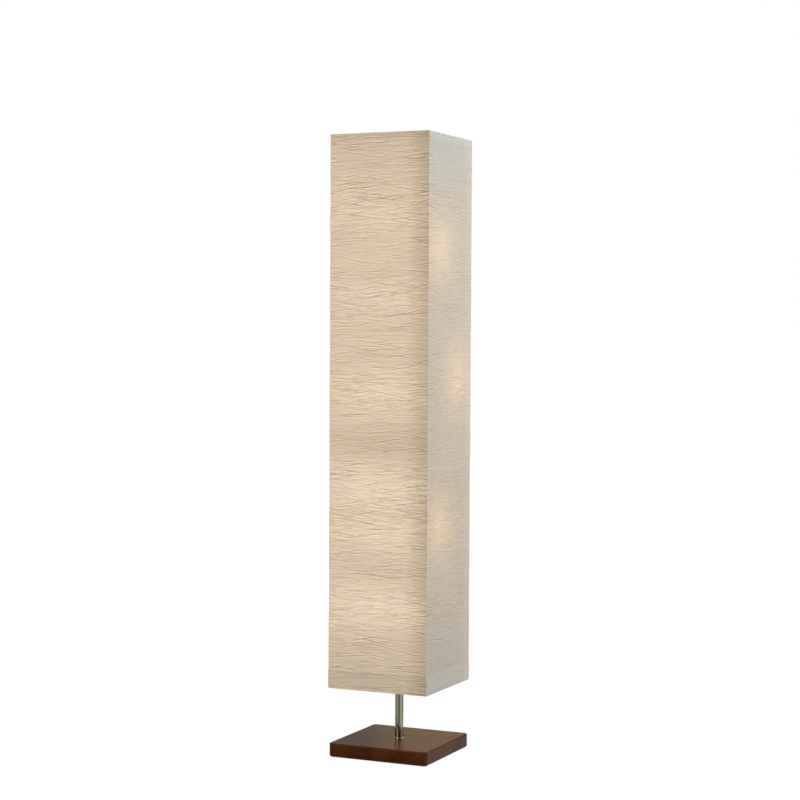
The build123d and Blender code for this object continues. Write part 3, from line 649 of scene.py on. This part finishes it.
def lacquer_finish():
    """Dark red-brown wood under a satin lacquer: long soft grain, orange cast where the lacquer is thin."""
    plain_lacquer = (0.06, 0.015, 0.005)
    dark_grain = (0.042, 0.0078, 0.0006)
    pale_grain = (0.067, 0.0138, 0.0008)
    thin_lacquer = (0.096, 0.0245, 0.0009)
    finish = Finish("lacquered_wood", plain_lacquer, 0.30)
    finish.constants(Specular_IOR_Level=0.08)
    grain = finish.noise(1.0, 5.0, 0.6, finish.stretched((5.0, 60.0, 60.0)), 0.3)
    blotch = finish.noise(13.0, 2.0, 0.5)
    wood = finish.mix(finish.span(grain, 0, 1, 0.35, 0.68), dark_grain, pale_grain)
    finish.color(finish.mix(finish.span(blotch, 0, 0.65, 0.42, 0.66), wood, thin_lacquer))
    finish.rough(finish.span(finish.noise(140.0, 4.0, 0.6), 0.27, 0.36, *noise_range))
    finish.bump(finish.combine("ADD", grain, finish.noise(900.0, 2.0, 0.5)), 0.00008, 0.35)
    return finish.material


def metal_finish(name, light, dark, roughness, line_scale):
    """Metal with a fine grain in its colour, gloss and bump; lines run along an axis where it is coarser."""
    finish = Finish(name, light, roughness, 1.0)
    lines = finish.noise(1.0, 4.0, 0.7, finish.stretched(line_scale))
    finish.color(finish.mix(finish.span(lines, 0, 1, *noise_range), dark, light))
    finish.rough(finish.span(lines, roughness - 0.02, roughness + 0.03, *noise_range))
    finish.bump(lines, metal_depth, 0.4)
    return finish.material


def moulded_finish(name, color, roughness, grain, depth=moulded_depth):
    """Moulded, painted or coated surface: fine even grain, with a slight change of tone."""
    finish = Finish(name, color, roughness)
    tone = finish.noise(60.0, 3.0)
    darker = tuple(0.82 * c for c in color)
    finish.color(finish.mix(finish.span(tone, 0, 1, 0.35, 0.65), darker, color))
    fine = finish.noise(grain, 3.0, 0.6)
    finish.rough(finish.span(fine, roughness - 0.06, roughness + 0.06, *noise_range))
    finish.bump(fine, depth, 0.6)
    return finish.material


def felt_finish():
    """Dark grey felt: a fine warped noise for its hairs, in colour and bump, and a soft sheen."""
    plain_felt = (0.05, 0.047, 0.042)
    dark_hair = (0.028, 0.026, 0.024)
    pale_hair = (0.085, 0.080, 0.072)
    finish = Finish("felt", plain_felt, 0.95)
    hairs = finish.noise(1800.0, 4.0, 0.75, warp=1.2)
    finish.color(finish.mix(finish.span(hairs, 0, 1, *noise_range), dark_hair, pale_hair))
    finish.bump(hairs, 0.0004, 0.8)
    finish.constants(Sheen_Weight=0.4, Sheen_Roughness=0.6)
    return finish.material


def bulb_finish():
    """Frosted glass, lit from inside: an even warm light with faint clouds, and a fine frost."""
    glass_white = (0.90, 0.87, 0.80)
    bulb_light = (1.0, 0.78, 0.50)
    finish = Finish("frosted_glass", glass_white, 0.42)
    frost = finish.noise(900.0, 3.0, 0.6)
    cloud = finish.noise(55.0, 2.0, 0.5)
    clouded = finish.span(cloud, 1.15, 1.40, *noise_range)
    frosted = finish.span(frost, 0.96, 1.03, *noise_range)
    finish.glow(bulb_light, finish.combine("MULTIPLY", clouded, frosted))
    finish.bump(frost, 0.00005, 0.5)
    return finish.material


# light colour, dark colour, roughness, and how fine the grain is along each axis
metals = {
    "brushed_nickel": ((0.330, 0.306, 0.254), (0.300, 0.277, 0.227), 0.11, (900, 900, 25)),
    "zinc_steel": ((0.62, 0.63, 0.62), (0.45, 0.46, 0.47), 0.36, (300, 300, 300)),
    "brass": ((0.76, 0.56, 0.26), (0.60, 0.42, 0.18), 0.30, (350, 350, 350)),
    "bulb_cap_metal": ((0.70, 0.70, 0.68), (0.55, 0.55, 0.54), 0.28, (200, 200, 900)),
    "bulb_tip_solder": ((0.46, 0.46, 0.45), (0.36, 0.36, 0.36), 0.45, (400, 400, 400)),
}
# colour, roughness, how fine the grain is, and its depth where it isn't the usual one
moulded_surfaces = {
    "black_steel": ((0.035, 0.035, 0.036), 0.42, 500.0),
    "black_nylon": ((0.024, 0.024, 0.025), 0.50, 900.0),
    "rubber": ((0.022, 0.022, 0.022), 0.72, 1100.0, 0.00008),
    "terminal_resin": ((0.62, 0.60, 0.54), 0.48, 700.0),
    "black_phenolic": ((0.022, 0.020, 0.019), 0.30, 600.0),
    "lead_sheath": ((0.60, 0.57, 0.50), 0.44, 800.0),
    "frame_wire": ((0.70, 0.69, 0.65), 0.45, 1200.0, 0.00005),
    "white_nylon": ((0.72, 0.71, 0.67), 0.40, 900.0),
}
finishes = {
    "crinkled_paper": paper_finish(),
    "lacquered_wood": lacquer_finish(),
    "felt": felt_finish(),
    "frosted_glass": bulb_finish(),
}
for slot, values in metals.items():
    finishes[slot] = metal_finish(slot, *values)
for slot, values in moulded_surfaces.items():
    finishes[slot] = moulded_finish(slot, *values)


def dress(piece, slot):
    """Puts a slot's finish on a piece, in place of what it has."""
    piece.data.materials.clear()
    piece.data.materials.append(finishes[slot])


for part in frame["record"]["subparts"]:
    dress(frame["nodes"][part["node"]], part["material_slot"])

sleeve = Sleeve()
for index, name in enumerate(face_order):
    paper = mesh_from_grid(f"paper_{name}", sleeve.points(name, index))
    # the bulbs' light through the paper, painted on each face as a glow
    point_attribute(paper, "glow", sleeve.light(name, index))
    point_attribute(paper, "dark", sleeve.dark(name, index))
    dress(paper, "crinkled_paper")
    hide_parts("paper_sleeve")
    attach(paper, "shade")

# ---------------------------------------------------------------- studio

floor_half = 12.0
floor_grey = 0.80
floor_white = 1.05
floor_shadow = 0.08  # share of the lit floor, with its shadow, in what the camera sees near the lamp
shadow_start = 0.25
shadow_reach = 1.1
room_light = 0.50
backdrop_light = 1.0
flat_lift = 0.0006  # of the flats that lie on the floor
sweep_near = 0.34
sweep_far = 3.0
sweep_high = 2.4
board_edge = 0.128  # just clear of the board
edge_flat_far = 1.40


def seen_ray(nodes, links):
    """1 for rays that show the background: from the camera, off metal and through glass."""
    ray = nodes.new("ShaderNodeLightPath")
    total = ray.outputs["Is Camera Ray"]
    for kind in ("Is Glossy Ray", "Is Transmission Ray"):
        largest = nodes.new("ShaderNodeMath")
        largest.operation = "MAXIMUM"
        links.new(total, largest.inputs[0])
        links.new(ray.outputs[kind], largest.inputs[1])
        total = largest.outputs["Value"]
    return total


def empty_tree(owner):
    """The nodes and links of a material or world, with its first nodes cleared away."""
    owner.use_nodes = True
    owner.node_tree.nodes.clear()
    return owner.node_tree.nodes, owner.node_tree.links


def blend(nodes, links, amount, first, second):
    """Two shaders mixed by a number or by another node's output."""
    node = nodes.new("ShaderNodeMixShader")
    if isinstance(amount, float):
        node.inputs["Fac"].default_value = amount
    else:
        links.new(amount, node.inputs["Fac"])
    links.new(first, node.inputs[1])
    links.new(second, node.inputs[2])
    return node.outputs[0]


def floor_finish():
    """A white floor. Near the lamp it takes a faint shadow; farther off it is plain white to the camera."""
    material = bpy.data.materials.new("studio_floor")
    nodes, links = empty_tree(material)
    matte = nodes.new("ShaderNodeBsdfDiffuse")
    matte.inputs["Color"].default_value = (floor_grey, floor_grey, floor_grey, 1)
    white = nodes.new("ShaderNodeEmission")
    white.inputs["Color"].default_value = (1, 1, 1, 1)
    white.inputs["Strength"].default_value = floor_white
    distance = nodes.new("ShaderNodeVectorMath")
    distance.operation = "LENGTH"
    links.new(nodes.new("ShaderNodeTexCoord").outputs["Object"], distance.inputs[0])
    fade = nodes.new("ShaderNodeMapRange")
    fade.inputs["From Min"].default_value = shadow_start
    fade.inputs["From Max"].default_value = shadow_reach
    links.new(distance.outputs["Value"], fade.inputs["Value"])
    shadowed = blend(nodes, links, 1 - floor_shadow, matte.outputs[0], white.outputs[0])
    shown = blend(nodes, links, fade.outputs["Result"], shadowed, white.outputs[0])
    result = blend(nodes, links, seen_ray(nodes, links), matte.outputs[0], shown)
    links.new(result, nodes.new("ShaderNodeOutputMaterial").inputs["Surface"])
    return material


def around(azimuth, distance, height):
    """A place by its azimuth in degrees from the front towards the right face, its distance and height."""
    a = math.radians(azimuth)
    return Vector((math.sin(a) * distance, -math.cos(a) * distance, height))


def card(name, corners):
    """A flat piece of the studio with four corners."""
    mesh = bpy.data.meshes.new(name)
    mesh.from_pydata(corners, [], [(0, 1, 2, 3)])
    piece = bpy.data.objects.new(name, mesh)
    bpy.context.scene.collection.objects.link(piece)
    return piece


def plane(name, centre, side, up):
    """A card by its centre and half of each side, as vectors."""
    c, a, b = Vector(centre), Vector(side), Vector(up)
    return card(name, [c - a - b, c + a - b, c + a + b, c - a + b])


def softbox(name, azimuth, distance, height, aim_height, width, tall, power, color=(1, 1, 1)):
    """A soft rectangular lamp that faces the lamp's axis."""
    light = bpy.data.lights.new(name, "AREA")
    light.shape = "RECTANGLE"
    light.size = width
    light.size_y = tall
    light.energy = power
    light.color = color
    lamp = bpy.data.objects.new(name, light)
    lamp.location = around(azimuth, distance, height)
    toward = Vector((0, 0, aim_height)) - lamp.location
    lamp.rotation_euler = toward.to_track_quat("-Z", "Y").to_euler()
    lamp.visible_glossy = False
    bpy.context.scene.collection.objects.link(lamp)


def studio_flat(flat, color):
    """Gives a card a plain colour that only gloss and metal see."""
    material = bpy.data.materials.new(flat.name)
    nodes, links = empty_tree(material)
    glow = nodes.new("ShaderNodeEmission")
    glow.inputs["Color"].default_value = (*color, 1)
    links.new(glow.outputs[0], nodes.new("ShaderNodeOutputMaterial").inputs["Surface"])
    flat.data.materials.append(material)
    flat.visible_camera = False
    flat.visible_diffuse = False
    flat.visible_shadow = False
    flat.visible_transmission = False


def standing_flat(name, azimuth, distance, half_wide, high, color):
    """A flat that stands on the floor and faces the lamp."""
    side = around(azimuth + 90, half_wide, 0)
    studio_flat(plane(name, around(azimuth, distance, high / 2), side, (0, 0, high / 2)), color)


def floor_flat(name, azimuth, near, far, half_wide, color):
    """A flat that lies on the floor, its length pointing at the lamp."""
    side = around(azimuth + 90, half_wide, 0)
    length = around(azimuth, (far - near) / 2, 0)
    studio_flat(plane(name, around(azimuth, (near + far) / 2, flat_lift), side, -length), color)


def swept_flat(name, azimuth, half_angle, low_color, high_color):
    """A wedge that lies on the floor and widens away from the lamp, and a flat that stands at its far end."""
    left, right = azimuth - half_angle, azimuth + half_angle
    near, far, low, high = sweep_near, sweep_far, flat_lift, sweep_high
    lying = [(left, near, low), (right, near, low), (right, far, low), (left, far, low)]
    standing = [(left, far, low), (right, far, low), (right, far, high), (left, far, high)]
    for part, places, color in (("low", lying, low_color), ("high", standing, high_color)):
        studio_flat(card(f"{name}_{part}", [around(*place) for place in places]), color)


floor = plane("studio_floor", (0, 0, 0), (floor_half, 0, 0), (0, floor_half, 0))
floor.data.materials.append(floor_finish())
softbox("right_softbox", 88, 2.5, 2.0, 1.05, 1.4, 1.8, 30)
softbox("top_softbox", 100, 1.2, 2.1, 1.50, 0.5, 0.4, 3.5, (0.92, 0.94, 1.0))
softbox("front_softbox", -22, 3.4, 0.9, 0.60, 1.8, 1.8, 36)
standing_flat("flat_behind", 205, 3.0, 2.4, 1.6, (0.95, 0.72, 0.47))
standing_flat("flat_behind_left", 220, 1.24, 0.27, 0.9, (0.56, 0.49, 0.43))
standing_flat("flat_behind_right", 150, 3.0, 0.90, 1.6, (0.84, 0.75, 0.58))
# what the pole shows, column by column, from its left edge to its right
swept_flat("flat_left", -88, 30, (0.46, 0.46, 0.43), (0.10, 0.10, 0.09))
swept_flat("flat_left_front", -45, 13, (0.62, 0.60, 0.51), (2.20, 2.05, 1.75))
swept_flat("flat_front", -18, 14, (0.94, 0.90, 0.80), (4.00, 3.70, 3.20))
swept_flat("flat_at_camera", 13, 17, (0.17, 0.16, 0.12), (0.03, 0.03, 0.02))
swept_flat("flat_right_front", 43, 13, (0.52, 0.50, 0.42), (0.10, 0.10, 0.08))
swept_flat("flat_right", 79, 23, (1.10, 1.06, 0.96), (1.30, 1.20, 1.05))
swept_flat("flat_right_back", 112, 10, (0.72, 0.70, 0.64), (5.00, 4.60, 4.00))
floor_flat("flat_right_edge", 155, sweep_near, edge_flat_far, 0.40, (0.42, 0.41, 0.38))
floor_flat("flat_left_edge", 222, sweep_near, edge_flat_far, 0.60, (0.42, 0.41, 0.38))
# what the board's sides show
floor_flat("floor_flat_front", 0, board_edge, sweep_near, 0.30, (0.03, 0.03, 0.03))
floor_flat("floor_flat_right", 90, board_edge, sweep_near, 0.30, (0.90, 0.90, 0.86))

world = bpy.data.worlds.new("studio")
bpy.context.scene.world = world
nodes, links = empty_tree(world)
room = nodes.new("ShaderNodeBackground")
room.inputs["Color"].default_value = (1, 1, 1, 1)
room.inputs["Strength"].default_value = room_light
backdrop = nodes.new("ShaderNodeBackground")
backdrop.inputs["Color"].default_value = (1, 1, 1, 1)
backdrop.inputs["Strength"].default_value = backdrop_light
sky = blend(nodes, links, seen_ray(nodes, links), room.outputs[0], backdrop.outputs[0])
links.new(sky, nodes.new("ShaderNodeOutputWorld").inputs["Surface"])

# ---------------------------------------------------------------- camera

camera_azimuth = math.radians(24.697)
camera_elevation = math.radians(1.821)
camera_roll = math.radians(0.315)
camera_distance = 4.598
camera_aim = Vector((0, 0, 0.84676))
focal_pixels = 1920.4
frame_pixels = 800
principal_offset_pixels = 0.98

back = Vector((
    math.sin(camera_azimuth) * math.cos(camera_elevation),
    -math.cos(camera_azimuth) * math.cos(camera_elevation),
    math.sin(camera_elevation),
))
level_right = Vector((math.cos(camera_azimuth), math.sin(camera_azimuth), 0))
level_up = back.cross(level_right)
right = level_right * math.cos(camera_roll) + level_up * math.sin(camera_roll)
up = level_up * math.cos(camera_roll) - level_right * math.sin(camera_roll)
lens = bpy.data.cameras.new("camera")
lens.sensor_width = 36
lens.lens = focal_pixels / frame_pixels * lens.sensor_width
lens.shift_x = -principal_offset_pixels / frame_pixels
camera = bpy.data.objects.new("camera", lens)
camera.matrix_world = Matrix((right, up, back)).transposed().to_4x4()
camera.location = camera_aim + back * camera_distance
bpy.context.scene.collection.objects.link(camera)
bpy.context.scene.camera = camera
bpy.context.scene.view_settings.view_transform = "Standard"
